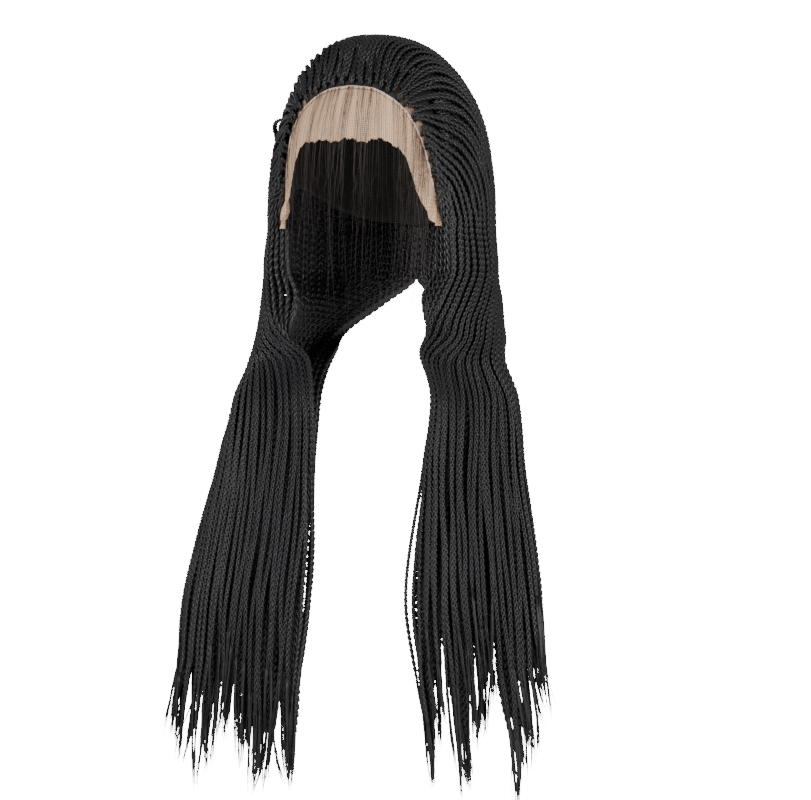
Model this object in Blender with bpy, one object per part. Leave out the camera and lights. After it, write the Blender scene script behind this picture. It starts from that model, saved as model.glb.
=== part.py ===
# Braid wig with a lace front, in the form it has when worn.
#
# Metres, +Z up. The origin is the top of the wearer's head, under the cap. The face looks
# along -Y, and the wearer's left side is +X. Drops are measured downwards from the origin.
# Every braid bundle (lock) runs from the hairline back over the crown, down behind the ear,
# round the side of the neck and forward into the fall in front of the shoulder.

import math
from collections import namedtuple

import bpy
import numpy as np

# Head that the cap is made for
HEAD_WIDTH = 0.150
HEAD_DEPTH = 0.184
HEAD_RISE = 0.105
HEAD_SIDE_POWER = 2.4
HEAD_DOME_POWER = 2.3

# Cap, lace and seam
CAP_WALL = 0.0015
LACE_WALL = 0.0010
SEAM_WALL = 0.0008
SEAM_WIDTH = 0.0030
SEAM_CLEARANCE = 0.0004
EDGE_CLEARANCE = 0.0005
LACE_RAGGEDNESS = 1.3
HAIRLINE_END = 52.0
SEAM_END = 52.0

# Hair over the crown
HAIR_BESIDE_HEAD = 0.0225
HAIR_BEHIND_HEAD = 0.018
HAIR_WIDTH = HEAD_WIDTH + 2 * HAIR_BESIDE_HEAD
HAIR_DEPTH = HEAD_DEPTH + 2 * HAIR_BEHIND_HEAD
CROWN_RISE = 0.015
DOME_BELOW_HEAD_MIDDLE = 0.045
DOME_BASE_DROP = HEAD_RISE + DOME_BELOW_HEAD_MIDDLE
DOME_POWER = 2.4
CROWN_LEAN = 0.0125
LEAN_DROP = 0.060
ROOT_SETBACK = 2.4
ROOT_THICKNESS = 0.005
RISE_SHARE = 0.29
CROWN_SWEEP = 0.45
CAP_TO_HAIR = 0.0024

# Hair below the ears
SHOULDER_DROP = 0.297
HAIR_DROP = 0.637
FALL_SPREAD = 0.108
FALL_AHEAD = 0.060
FALL_WIDTH = 0.118
FALL_THICKNESS = 0.046
SPLIT_DROP = 0.520
TIP_UNEVENNESS = 0.120
TIP_FLARE = 0.026
TIP_THICKNESS_SHARE = 0.12

# Locks
LOCKS_PER_SIDE = 8
RIBS_PER_LOCK = 3
RIB_DEPTH = 0.0022
LOCK_GAP = 0.0008
SEAT_GAP = 0.0003
CROWN_STEPS = (0.0, 0.06, 0.13, 0.21, 0.30, 0.40, 0.50, 0.60, 0.70, 0.80, 0.90, 1.0)
NECK_STEPS = 9
FALL_STEPS = 8
TIP_STEPS = 3
CURVE_SAMPLES = 96

# Grid of the cap and the lace
FRONT_REACH = 64.0
FRONT_STEP = 4.0
BACK_COLUMNS = 19
CAP_ROWS = 5
LACE_ROWS = 3
CAP_POLE_ELEVATION = 90.0

# Lower edge of the cap: degrees round the head from the forehead, degrees above its middle
CapEdge = namedtuple("CapEdge", "azimuth elevation")
CAP_EDGE = (
    CapEdge(0.0, 44.4),
    CapEdge(14.0, 42.6),
    CapEdge(24.0, 38.4),
    CapEdge(34.0, 31.0),
    CapEdge(41.0, 19.5),
    CapEdge(46.0, 5.5),
    CapEdge(50.0, -7.0),
    CapEdge(55.0, -17.5),
    CapEdge(61.0, -21.0),
    CapEdge(72.0, -12.0),
    CapEdge(90.0, -8.0),
    CapEdge(120.0, -14.0),
    CapEdge(150.0, -22.0),
    CapEdge(180.0, -25.0),
)

# Free edge of the lace, for each place on the hairline that it hangs from
LaceEdge = namedtuple("LaceEdge", "hairline azimuth elevation")
LACE_EDGE = (
    LaceEdge(0.0, 0.0, 17.0),
    LaceEdge(12.0, 11.0, 16.0),
    LaceEdge(24.0, 21.0, 16.5),
    LaceEdge(32.0, 28.0, 13.0),
    LaceEdge(40.0, 34.0, 5.0),
    LaceEdge(44.0, 37.0, -3.0),
    LaceEdge(48.0, 41.0, -14.0),
    LaceEdge(52.0, 46.0, -25.0),
    LaceEdge(56.0, 52.0, -30.0),
    LaceEdge(60.0, 60.0, -29.0),
)

# Half sections of the hair from the ears to the shoulders. level runs from the base of the
# dome (0) to the shoulders (1); side, width and core_width are shares of half the hair's width,
# back, depth and core_depth of half its depth; start and end are degrees round the section
# from its front, outwards.
NeckSection = namedtuple(
    "NeckSection", "level side back width depth start end core_width core_depth"
)
NECK_SECTIONS = (
    NeckSection(0.00, 0.00, 0.00, 1.00, 1.00, 59.0, 180.0, 0.78, 0.84),
    NeckSection(0.24, 0.00, -0.02, 1.04, 0.96, 58.0, 179.0, 0.78, 0.76),
    NeckSection(0.43, 0.38, -0.01, 0.69, 0.82, 38.0, 188.0, 0.29, 0.60),
    NeckSection(0.61, 0.69, -0.02, 0.41, 0.65, -2.0, 197.0, 0.11, 0.43),
    NeckSection(0.78, 0.81, -0.12, 0.35, 0.49, -58.0, 238.0, 0.14, 0.26),
)

# Sections of the fall. level runs from the shoulders (0) to the longest tip (1); side is a share
# of FALL_SPREAD, ahead of FALL_AHEAD, width and core_width of half of FALL_WIDTH, and depth and
# core_depth of half of FALL_THICKNESS.
FallSection = namedtuple(
    "FallSection", "level side ahead width depth start end core_width core_depth"
)
FALL_SECTIONS = (
    FallSection(0.00, 0.835, 0.29, 0.66, 1.70, -75.0, 255.0, 0.40, 0.04),
    FallSection(0.17, 0.880, 0.55, 0.78, 1.25, -85.0, 267.0, 0.55, 0.03),
    FallSection(0.35, 0.945, 0.75, 0.90, 1.08, -90.0, 270.0, 0.68, 0.03),
    FallSection(0.53, 1.000, 0.92, 0.98, 1.00, -90.0, 270.0, 0.75, 0.03),
    FallSection(0.69, 1.030, 0.93, 1.00, 0.90, -90.0, 270.0, 0.78, 0.03),
    FallSection(0.82, 1.040, 0.90, 0.96, 0.80, -90.0, 270.0, 0.76, 0.03),
    FallSection(1.00, 1.050, 0.88, 0.90, 0.70, -90.0, 270.0, 0.72, 0.03),
)

# Share of TIP_UNEVENNESS by which the two tips of each lock end short, from the inner edge of
# the fall round its front and outer edge to its back
TipPair = namedtuple("TipPair", "first second")
TIPS = (
    TipPair(0.10, 0.55),
    TipPair(0.05, 0.40),
    TipPair(0.75, 0.00),
    TipPair(0.35, 0.75),
    TipPair(0.60, 0.78),
    TipPair(0.15, 0.70),
    TipPair(0.45, 0.05),
    TipPair(0.80, 0.30),
)


def clear_scene():
    for item in list(bpy.data.objects):
        bpy.data.objects.remove(item, do_unlink=True)


def make_material(name, colour, roughness):
    material = bpy.data.materials.new(name)
    material.use_nodes = True
    shader = material.node_tree.nodes["Principled BSDF"]
    shader.inputs["Base Color"].default_value = (*colour, 1.0)
    shader.inputs["Roughness"].default_value = roughness
    shader.inputs["Metallic"].default_value = 0.0
    return material


def add_object(name, points, faces, material, mirrored=False):
    if mirrored:
        points = [(-x, y, z) for x, y, z in points]
        faces = [tuple(reversed(face)) for face in faces]
    mesh = bpy.data.meshes.new(name)
    mesh.from_pydata([tuple(float(c) for c in point) for point in points], [], faces)
    mesh.materials.append(material)
    mesh.update()
    item = bpy.data.objects.new(name, mesh)
    bpy.context.collection.objects.link(item)
    mesh.shade_smooth()
    mesh.set_sharp_from_angle(angle=math.radians(40.0))
    return item


def smooth_curve(places, values, place):
    """Smooth curve through the values that never swings past them, flat beyond both ends."""
    places = np.asarray(places, float)
    values = np.asarray(values, float)
    spans = np.diff(places)
    rates = np.diff(values) / spans
    slopes = np.zeros(len(places))
    slopes[0] = rates[0]
    slopes[-1] = rates[-1]
    for k in range(1, len(places) - 1):
        before = rates[k - 1]
        after = rates[k]
        if before * after > 0:
            slopes[k] = 2 * before * after / (before + after)
    place = min(max(place, places[0]), places[-1])
    k = min(int(np.searchsorted(places, place, side="right")) - 1, len(places) - 2)
    span = spans[k]
    u = (place - places[k]) / span
    return float(
        values[k] * (1 + 2 * u) * (1 - u) ** 2
        + slopes[k] * span * u * (1 - u) ** 2
        + values[k + 1] * u * u * (3 - 2 * u)
        + slopes[k + 1] * span * u * u * (u - 1)
    )


def ease(u):
    u = min(max(u, 0.0), 1.0)
    return u * u * (3.0 - 2.0 * u)


def direction_of(azimuth, elevation):
    """Unit vector at an azimuth from the forehead towards +X and an elevation, in degrees."""
    turn = math.radians(azimuth)
    lift = math.radians(elevation)
    return np.array([
        math.sin(turn) * math.cos(lift),
        -math.cos(turn) * math.cos(lift),
        math.sin(lift),
    ])


# Head and cap surface

HEAD_MIDDLE = np.array([0.0, 0.0, -HEAD_RISE])


def head_measure(point, offset):
    """1 on the head's surface grown by offset, less inside it."""
    x, y, z = np.abs(point - HEAD_MIDDLE)
    level = (x / (HEAD_WIDTH / 2 + offset)) ** HEAD_SIDE_POWER
    level += (y / (HEAD_DEPTH / 2 + offset)) ** HEAD_SIDE_POWER
    rise = (z / (HEAD_RISE + offset)) ** HEAD_DOME_POWER
    return level ** (HEAD_DOME_POWER / HEAD_SIDE_POWER) + rise


def head_point(azimuth, elevation, offset):
    direction = direction_of(azimuth, elevation)
    reach = head_measure(HEAD_MIDDLE + direction, offset) ** (-1.0 / HEAD_DOME_POWER)
    return HEAD_MIDDLE + direction * reach


def cap_edge_elevation(azimuth):
    return smooth_curve(
        [row.azimuth for row in CAP_EDGE], [row.elevation for row in CAP_EDGE], abs(azimuth)
    )


def cap_azimuths():
    front = list(np.arange(-FRONT_REACH, FRONT_REACH + FRONT_STEP / 2, FRONT_STEP))
    back = list(np.linspace(FRONT_REACH, 360.0 - FRONT_REACH, BACK_COLUMNS + 2))[1:-1]
    return [a if a <= 180.0 else a - 360.0 for a in front + back]


def make_cap(material):
    azimuths = cap_azimuths()
    columns = len(azimuths)
    points = []
    for offset in (CAP_WALL, 0.0):
        points.append(head_point(0.0, CAP_POLE_ELEVATION, offset))
        for row in range(1, CAP_ROWS + 1):
            share = row / CAP_ROWS
            for azimuth in azimuths:
                edge = cap_edge_elevation(azimuth)
                elevation = CAP_POLE_ELEVATION + (edge - CAP_POLE_ELEVATION) * share
                points.append(head_point(azimuth, elevation, offset))
    layer = 1 + CAP_ROWS * columns
    faces = []
    for k in range(columns):
        after = (k + 1) % columns
        faces.append((0, 1 + k, 1 + after))
        faces.append((layer, layer + 1 + after, layer + 1 + k))
        for row in range(CAP_ROWS - 1):
            a = 1 + row * columns + k
            b = 1 + row * columns + after
            c = b + columns
            d = a + columns
            faces.append((a, d, c, b))
            faces.append((layer + a, layer + b, layer + c, layer + d))
        a = 1 + (CAP_ROWS - 1) * columns + k
        b = 1 + (CAP_ROWS - 1) * columns + after
        faces.append((a, layer + a, layer + b, b))
    return add_object("cap", points, faces, material)


# Hairline: the front edge of the cap

def off_hairline(azimuth, degrees):
    """Place at a distance in degrees from the hairline, positive towards the face."""
    edge = cap_edge_elevation(azimuth)
    step = 0.5
    slope = 0.0
    if abs(azimuth) > step:
        slope = cap_edge_elevation(abs(azimuth) + step) - cap_edge_elevation(abs(azimuth) - step)
        slope /= 2 * step
    size = math.hypot(1.0, slope)
    outward = slope / size
    return (
        azimuth + math.copysign(1.0, azimuth) * outward * degrees,
        edge - degrees / size,
    )


def degrees_for(length):
    return math.degrees(length / (HEAD_DEPTH / 2))


def band_object(name, columns, material):
    """Closed band from columns of (outer points, inner points), both listed top to bottom."""
    rows = len(columns[0][0])
    ring = 2 * rows
    points = []
    for outer, inner in columns:
        points.extend(outer)
        points.extend(reversed(inner))
    faces = []
    for k in range(len(columns) - 1):
        for j in range(ring):
            after = (j + 1) % ring
            a = k * ring + j
            b = k * ring + after
            faces.append((a, b, b + ring, a + ring))
    for k in (0, len(columns) - 1):
        for j in range(rows - 1):
            a = k * ring + j
            b = k * ring + ring - 1 - j
            face = (a, b, b - 1, a + 1)
            faces.append(face if k == 0 else tuple(reversed(face)))
    return add_object(name, points, faces, material)


def make_lace(material):
    hairlines = [row.hairline for row in LACE_EDGE]
    reach = hairlines[-1]
    steps = int(reach / FRONT_STEP)
    columns = []
    for k in range(-steps, steps + 1):
        azimuth = k * FRONT_STEP
        top = off_hairline(azimuth, degrees_for(EDGE_CLEARANCE))
        free_azimuth = smooth_curve(hairlines, [row.azimuth for row in LACE_EDGE], abs(azimuth))
        free_azimuth = math.copysign(free_azimuth, azimuth)
        free = smooth_curve(hairlines, [row.elevation for row in LACE_EDGE], abs(azimuth))
        free += LACE_RAGGEDNESS * (1 if k % 2 else -1)
        outer = []
        inner = []
        for row in range(LACE_ROWS + 1):
            share = row / LACE_ROWS
            here = top[0] + (free_azimuth - top[0]) * share
            level = top[1] + (free - top[1]) * share
            outer.append(head_point(here, level, LACE_WALL))
            inner.append(head_point(here, level, 0.0))
        columns.append((outer, inner))
    return band_object("lace_front", columns, material)


def make_seam(material):
    steps = int(SEAM_END / FRONT_STEP)
    half = degrees_for(SEAM_WIDTH / 2)
    low = CAP_WALL + SEAM_CLEARANCE
    columns = []
    for k in range(-steps, steps + 1):
        azimuth = k * FRONT_STEP
        places = [off_hairline(azimuth, -half), off_hairline(azimuth, half)]
        outer = [head_point(*place, low + SEAM_WALL) for place in places]
        inner = [head_point(*place, low) for place in places]
        columns.append((outer, inner))
    return band_object("hairline_seam", columns, material)


# Hair over the crown, from the hairline to the base of the dome

DOME_MIDDLE = np.array([0.0, 0.0, -DOME_BASE_DROP])


def hairline_places():
    """Azimuths along the left hairline and the share of its length from the ear to the top."""
    azimuths = np.linspace(HAIRLINE_END, 0.0, CURVE_SAMPLES)
    line = np.array([head_point(a, cap_edge_elevation(a), 0.0) for a in azimuths])
    lengths = np.concatenate(([0.0], np.cumsum(np.linalg.norm(np.diff(line, axis=0), axis=1))))
    return azimuths, lengths / lengths[-1]


HAIRLINE_AZIMUTHS, HAIRLINE_SHARES = hairline_places()


def dome_reach(direction):
    x, y, z = np.abs(direction)
    level = (x / (HAIR_WIDTH / 2)) ** 2 + (y / (HAIR_DEPTH / 2)) ** 2
    rise = (z / (DOME_BASE_DROP + CROWN_RISE)) ** DOME_POWER
    return (level ** (DOME_POWER / 2) + rise) ** (-1.0 / DOME_POWER)


def cap_reach(direction, offset):
    """Distance from the middle of the dome to the head grown by offset."""
    low = 0.0
    high = HAIR_DROP
    for _ in range(40):
        middle = (low + high) / 2
        if head_measure(DOME_MIDDLE + direction * middle, offset) < 1.0:
            low = middle
        else:
            high = middle
    return low


def crown_points(share, travel):
    """Outer and inner point of the hair over the crown.

    share runs from the ear (0) to the middle of the head (1), travel from the hairline (0)
    to the base of the dome (1), where the hair hangs straight down.
    """
    azimuth = float(np.interp(share, HAIRLINE_SHARES, HAIRLINE_AZIMUTHS))
    root_place = off_hairline(azimuth, -ROOT_SETBACK)
    root = head_point(max(root_place[0], 0.0), root_place[1], 0.0) - DOME_MIDDLE
    root = root / np.linalg.norm(root)
    outer, _ = section_points(-DOME_BASE_DROP, share)
    end = outer - DOME_MIDDLE
    end = end / np.linalg.norm(end)
    lift = CROWN_SWEEP * math.acos(min(max(float(root @ end), -1.0), 1.0))
    above = np.array([end[0] * math.cos(lift), end[1] * math.cos(lift), math.sin(lift)])
    left = 1.0 - travel
    direction = root * left * left + above * 2 * left * travel + end * travel * travel
    direction = direction / np.linalg.norm(direction)
    inner_reach = cap_reach(direction, CAP_WALL + CAP_TO_HAIR)
    full = dome_reach(direction) - inner_reach
    root_share = min(ROOT_THICKNESS, full)
    thickness = root_share + (full - root_share) * ease(travel / RISE_SHARE)
    inner = DOME_MIDDLE + direction * inner_reach
    outer = inner + direction * thickness
    lean = CROWN_LEAN * ease((outer[2] + LEAN_DROP) / (LEAN_DROP + CROWN_RISE))
    outer[1] -= lean * ease(travel / RISE_SHARE)
    return outer, inner


# Hair below the ears

Section = namedtuple("Section", "middle width depth start end core_width core_depth")


def section_rows():
    """Height and section of each row of both tables, in metres and degrees."""
    rows = []
    half_width = HAIR_WIDTH / 2
    half_depth = HAIR_DEPTH / 2
    for row in NECK_SECTIONS:
        drop = DOME_BASE_DROP + (SHOULDER_DROP - DOME_BASE_DROP) * row.level
        rows.append((
            -drop, row.side * half_width, row.back * half_depth,
            row.width * half_width, row.depth * half_depth, row.start, row.end,
            row.core_width * half_width, row.core_depth * half_depth,
        ))
    half_width = FALL_WIDTH / 2
    half_depth = FALL_THICKNESS / 2
    for row in FALL_SECTIONS:
        drop = SHOULDER_DROP + (HAIR_DROP - SHOULDER_DROP) * row.level
        rows.append((
            -drop, row.side * FALL_SPREAD, -row.ahead * FALL_AHEAD,
            row.width * half_width, row.depth * half_depth, row.start, row.end,
            row.core_width * half_width, row.core_depth * half_depth,
        ))
    return np.array(rows)


SECTION_ROWS = section_rows()


def section_at(height):
    drops = -SECTION_ROWS[:, 0]
    values = [smooth_curve(drops, SECTION_ROWS[:, k], -height) for k in range(1, 9)]
    return Section(np.array([values[0], values[1], height]), *values[2:])


def section_turn(section, share):
    """Angle round the section at a share of the length of its outer curve."""
    turns = np.radians(np.linspace(section.start, section.end, CURVE_SAMPLES))
    x = section.width * np.sin(turns)
    y = section.depth * np.cos(turns)
    lengths = np.concatenate(([0.0], np.cumsum(np.hypot(np.diff(x), np.diff(y)))))
    return float(np.interp(share * lengths[-1], lengths, turns)), float(lengths[-1])


def section_points(height, share):
    """Outer and inner point of the hair below the ears."""
    section = section_at(height)
    turn, _ = section_turn(section, share)
    outer = section.middle + np.array([
        section.width * math.sin(turn), -section.depth * math.cos(turn), 0.0
    ])
    inner = section.middle + np.array([
        section.core_width * math.sin(turn), -section.core_depth * math.cos(turn), 0.0
    ])
    return outer, inner


def curve_length(height):
    section = section_at(height)
    return section_turn(section, 1.0)[1]


# Locks

RIB_POINTS = 2 * RIBS_PER_LOCK + 1


def lock_ring(place, gap_share, number, inner_count):
    """Ring of a lock: its ribbed outer side, then its inner side the other way."""
    first = number / LOCKS_PER_SIDE + gap_share
    last = (number + 1) / LOCKS_PER_SIDE - gap_share
    ring = []
    for k in range(RIB_POINTS):
        outer, inner = place(first + (last - first) * k / (RIB_POINTS - 1))
        inward = inner - outer
        thickness = np.linalg.norm(inward)
        if k % 2 == 0 and thickness > 0:
            outer = outer + inward * min(RIB_DEPTH / thickness, 0.4)
        ring.append(outer)
    for k in range(inner_count):
        ring.append(place(last + (first - last) * k / (inner_count - 1))[1])
    return ring


def add_walls(faces, first, after, size, walls):
    """Faces between two rings that start at points first and after.

    A lock's two side walls are cut along the same diagonal as its neighbours' walls.
    """
    for j in range(size):
        k = (j + 1) % size
        if j == walls[0]:
            faces.append((first + j, after + j, after + k))
            faces.append((first + j, after + k, first + k))
        elif j == walls[1]:
            faces.append((first + j, after + j, first + k))
            faces.append((after + j, after + k, first + k))
        else:
            faces.append((first + j, after + j, after + k, first + k))


def make_crown_lock(name, number, material, mirrored):
    gap_share = LOCK_GAP / 2 / curve_length(-DOME_BASE_DROP)
    rings = []
    for travel in CROWN_STEPS:
        rings.append(lock_ring(lambda share: crown_points(share, travel), gap_share, number, 3))
    size = len(rings[0])
    points = [point for ring in rings for point in ring]
    faces = [tuple(range(size))]
    for k in range(len(rings) - 1):
        add_walls(faces, k * size, (k + 1) * size, size, (RIB_POINTS - 1, size - 1))
    last = (len(rings) - 1) * size
    faces.append(tuple(last + j for j in reversed(range(size))))
    return add_object(name, points, faces, material, mirrored)


def fall_heights():
    neck = np.linspace(DOME_BASE_DROP + SEAT_GAP, SHOULDER_DROP, NECK_STEPS)
    fall = np.linspace(SHOULDER_DROP, SPLIT_DROP, FALL_STEPS)[1:]
    return [-drop for drop in list(neck) + list(fall)]


def fall_ring(height, number):
    gap_share = LOCK_GAP / 2 / curve_length(height)
    return lock_ring(lambda share: section_points(height, share), gap_share, number, 2)


def make_fall_lock(name, number, material, mirrored):
    heights = fall_heights()
    rings = [fall_ring(height, number) for height in heights]
    size = len(rings[0])
    points = [point for ring in rings for point in ring]
    faces = [tuple(range(size))]
    for k in range(len(rings) - 1):
        add_walls(faces, k * size, (k + 1) * size, size, (RIB_POINTS - 1, size - 1))
    # The lowest inner edge takes a point in its middle, where the lock parts into two tips
    split = (len(rings) - 1) * size
    middle = len(points)
    points.append((points[split + size - 2] + points[split + size - 1]) / 2)
    inner_face = (split - 2, split + size - 2, split + size - 1, split - 1)
    faces.remove(inner_face)
    faces.append((*inner_face[:2], middle, *inner_face[2:]))
    parting = RIB_POINTS // 2
    parting += parting % 2
    branches = (
        [split + j for j in range(parting + 1)] + [middle, split + size - 1],
        [split + j for j in range(parting, size - 1)] + [middle],
    )
    shares = TIPS[number % len(TIPS)]
    for branch, short in zip(branches, shares):
        tip_height = -(HAIR_DROP - short * TIP_UNEVENNESS)
        previous = branch
        start = np.array([points[index] for index in branch])
        for step in range(1, TIP_STEPS + 1):
            share = step / TIP_STEPS
            height = heights[-1] + (tip_height - heights[-1]) * share
            narrow = 1.0 - (1.0 - TIP_THICKNESS_SHARE) * share
            centre = start.mean(axis=0)
            ring = centre + (start - centre) * narrow
            outward = max(0.0, centre[0] - FALL_SPREAD) / (FALL_WIDTH / 2)
            ring[:, 0] += TIP_FLARE * share * outward
            ring[:, 2] = height
            indices = list(range(len(points), len(points) + len(ring)))
            points.extend(ring)
            for j in range(len(ring)):
                after = (j + 1) % len(ring)
                faces.append((previous[j], indices[j], indices[after], previous[after]))
            previous = indices
        faces.append(tuple(reversed(previous)))
    return add_object(name, points, faces, material, mirrored)


def build():
    clear_scene()
    hair = make_material("black_braid", (0.016, 0.016, 0.018), 0.45)
    lace = make_material("sheer_lace", (0.52, 0.38, 0.28), 0.8)
    seam = make_material("seam_tape", (0.62, 0.46, 0.36), 0.7)
    net = make_material("cap_net", (0.03, 0.025, 0.022), 0.85)
    make_cap(net)
    make_lace(lace)
    make_seam(seam)
    for side, mirrored in (("left", False), ("right", True)):
        for number in range(LOCKS_PER_SIDE):
            make_crown_lock(f"crown_lock_{side}_{number + 1}", number, hair, mirrored)
            make_fall_lock(f"fall_lock_{side}_{number + 1}", number, hair, mirrored)


build()
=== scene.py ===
# Looks of a long black braid wig with a sheer lace front, in the form it has when worn.
# Metres, +Z up, the face side looks along -Y and +X is the wearer's left.

import math

import bpy
import numpy as np
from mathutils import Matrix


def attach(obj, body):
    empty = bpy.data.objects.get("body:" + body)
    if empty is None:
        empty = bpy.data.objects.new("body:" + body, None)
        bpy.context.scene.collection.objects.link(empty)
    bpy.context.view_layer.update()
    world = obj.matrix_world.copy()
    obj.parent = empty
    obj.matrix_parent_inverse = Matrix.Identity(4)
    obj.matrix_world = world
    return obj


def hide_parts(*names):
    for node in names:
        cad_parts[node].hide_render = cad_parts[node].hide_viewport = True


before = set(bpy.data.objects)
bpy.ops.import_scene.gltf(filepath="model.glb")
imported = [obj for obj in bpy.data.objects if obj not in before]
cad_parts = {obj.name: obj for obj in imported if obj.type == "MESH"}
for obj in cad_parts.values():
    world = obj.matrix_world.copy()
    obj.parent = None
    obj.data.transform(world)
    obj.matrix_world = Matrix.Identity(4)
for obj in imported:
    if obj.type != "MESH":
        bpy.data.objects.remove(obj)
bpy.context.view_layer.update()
bpy.ops.object.select_all(action="DESELECT")


# Stage: a plain white floor and backdrop, soft daylight from all round, three large soft lamps
# and the camera, which looks from slightly left of the front.

CAMERA_TURN = math.radians(20.0)
CAMERA_RISE = math.radians(1.5)
CAMERA_DISTANCE = 3.2
FRAME_WIDTH = 0.6975
LOOK_ACROSS = 0.0202
LOOK_HEIGHT = -0.2976
FLOOR_HEIGHT = -0.72
DAYLIGHT = 0.60
BACKDROP_GLOW = 20.0

across = np.array([math.cos(CAMERA_TURN), math.sin(CAMERA_TURN), 0.0])
towards_camera = np.array([
    math.sin(CAMERA_TURN) * math.cos(CAMERA_RISE),
    -math.cos(CAMERA_TURN) * math.cos(CAMERA_RISE),
    math.sin(CAMERA_RISE),
])
look_at = across * LOOK_ACROSS + np.array([0.0, 0.0, LOOK_HEIGHT])
bpy.ops.object.camera_add(
    location=look_at + towards_camera * CAMERA_DISTANCE,
    rotation=(math.pi / 2 - CAMERA_RISE, 0.0, CAMERA_TURN),
)
camera = bpy.context.object
camera.name = "photo_camera"
camera.data.sensor_width = 36.0
camera.data.lens = 36.0 * CAMERA_DISTANCE / FRAME_WIDTH
bpy.context.scene.camera = camera

bpy.ops.mesh.primitive_plane_add(size=40.0, location=(0.0, 0.0, FLOOR_HEIGHT))
floor = bpy.context.object
floor.name = "floor"
floor_finish = bpy.data.materials.new("white_floor")
floor_finish.use_nodes = True
floor_shader = floor_finish.node_tree.nodes["Principled BSDF"]
floor_shader.inputs["Base Color"].default_value = (0.93, 0.93, 0.93, 1.0)
floor_shader.inputs["Roughness"].default_value = 0.9
floor_shader.inputs["Emission Color"].default_value = (1.0, 1.0, 1.0, 1.0)
seen = floor_finish.node_tree.nodes.new("ShaderNodeLightPath")
glow = floor_finish.node_tree.nodes.new("ShaderNodeMath")
glow.operation = "MULTIPLY"
glow.inputs[1].default_value = BACKDROP_GLOW
floor_finish.node_tree.links.new(seen.outputs["Is Camera Ray"], glow.inputs[0])
floor_finish.node_tree.links.new(glow.outputs["Value"], floor_shader.inputs["Emission Strength"])
floor.data.materials.append(floor_finish)

world = bpy.data.worlds.new("white_room")
world.use_nodes = True
daylight = world.node_tree.nodes["Background"]
daylight.inputs["Color"].default_value = (1.0, 1.0, 1.0, 1.0)
seen = world.node_tree.nodes.new("ShaderNodeLightPath")
glow = world.node_tree.nodes.new("ShaderNodeMapRange")
glow.inputs["To Min"].default_value = DAYLIGHT
glow.inputs["To Max"].default_value = BACKDROP_GLOW
world.node_tree.links.new(seen.outputs["Is Camera Ray"], glow.inputs["Value"])
world.node_tree.links.new(glow.outputs["Result"], daylight.inputs["Strength"])
bpy.context.scene.world = world


def add_lamp(name, turn, rise, distance, size, power):
    """Square soft lamp at a turn from the front and a rise, in degrees, facing the hair."""
    turn = math.radians(turn)
    rise = math.radians(rise)
    place = look_at + distance * np.array([
        math.sin(turn) * math.cos(rise), -math.cos(turn) * math.cos(rise), math.sin(rise)
    ])
    bpy.ops.object.light_add(
        type="AREA", location=place, rotation=(math.pi / 2 - rise, 0.0, turn)
    )
    lamp = bpy.context.object
    lamp.name = name
    lamp.data.size = size
    lamp.data.energy = power


add_lamp("key_lamp", -20.0, 22.0, 2.4, 1.0, 42.0)
add_lamp("side_lamp", 62.0, 12.0, 2.4, 1.0, 40.0)
add_lamp("back_lamp", 205.0, 15.0, 2.4, 1.0, 16.0)


# Cap: a thin stretch dome that all the braids are knotted to, open at the front and below. Its
# front strip is beige lace, which shows in small wedges between the roots at both sides, and
# the rest is a dark net. Across the top of the hairline the strip is given the dark net colour
# as painted shade between the roots.

CAP_HALF = (0.075, 0.092, 0.105)
CAP_SIDE_POWER = 2.4
CAP_DOME_POWER = 2.3
CAP_WALL = 0.0014
CAP_EDGE_TURNS = (0, 14, 24, 34, 41, 46, 50, 55, 61, 72, 90, 120, 150, 180)
CAP_EDGE_RISES = (44.4, 42.6, 38.4, 31, 19.5, 5.5, -7, -17.5, -21, -12, -8, -14, -22, -25)


def smooth_curve(places, values, place):
    """Smooth curve through the values that never swings past them, flat beyond both ends."""
    places = np.asarray(places, float)
    values = np.asarray(values, float)
    spans = np.diff(places)
    rates = np.diff(values) / spans
    slopes = np.zeros(len(places))
    slopes[0] = rates[0]
    slopes[-1] = rates[-1]
    for k in range(1, len(places) - 1):
        if rates[k - 1] * rates[k] > 0:
            slopes[k] = 2 * rates[k - 1] * rates[k] / (rates[k - 1] + rates[k])
    place = np.clip(place, places[0], places[-1])
    k = np.clip(np.searchsorted(places, place, side="right") - 1, 0, len(spans) - 1)
    span = spans[k]
    u = (place - places[k]) / span
    return (
        values[k] * (1 + 2 * u) * (1 - u) ** 2
        + slopes[k] * span * u * (1 - u) ** 2
        + values[k + 1] * u * u * (3 - 2 * u)
        + slopes[k + 1] * span * u * u * (u - 1)
    )


def cap_measure(points, offset):
    """1 on the cap's inner surface grown by offset, less within it."""
    x = np.abs(points[..., 0]) / (CAP_HALF[0] + offset)
    y = np.abs(points[..., 1]) / (CAP_HALF[1] + offset)
    z = np.abs(points[..., 2] + CAP_HALF[2]) / (CAP_HALF[2] + offset)
    level = (x ** CAP_SIDE_POWER + y ** CAP_SIDE_POWER) ** (CAP_DOME_POWER / CAP_SIDE_POWER)
    return level + z ** CAP_DOME_POWER


def cap_points(turn, rise, offset):
    """Points over the cap at a turn from its front and a rise, in degrees."""
    turn = np.radians(turn)
    rise = np.radians(rise)
    direction = np.stack(
        [np.sin(turn) * np.cos(rise), -np.cos(turn) * np.cos(rise), np.sin(rise)], axis=-1
    )
    middle = np.array([0.0, 0.0, -CAP_HALF[2]])
    reach = cap_measure(middle + direction, offset) ** (-1.0 / CAP_DOME_POWER)
    return middle + direction * reach[..., None]


def cap_edge(turn):
    return smooth_curve(CAP_EDGE_TURNS, CAP_EDGE_RISES, np.abs(turn))


def read_points(item):
    points = np.empty(len(item.data.vertices) * 3)
    item.data.vertices.foreach_get("co", points)
    return points.reshape(-1, 3)


def write_points(item, points):
    item.data.vertices.foreach_set("co", np.asarray(points, float).ravel())
    item.data.update()


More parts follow.
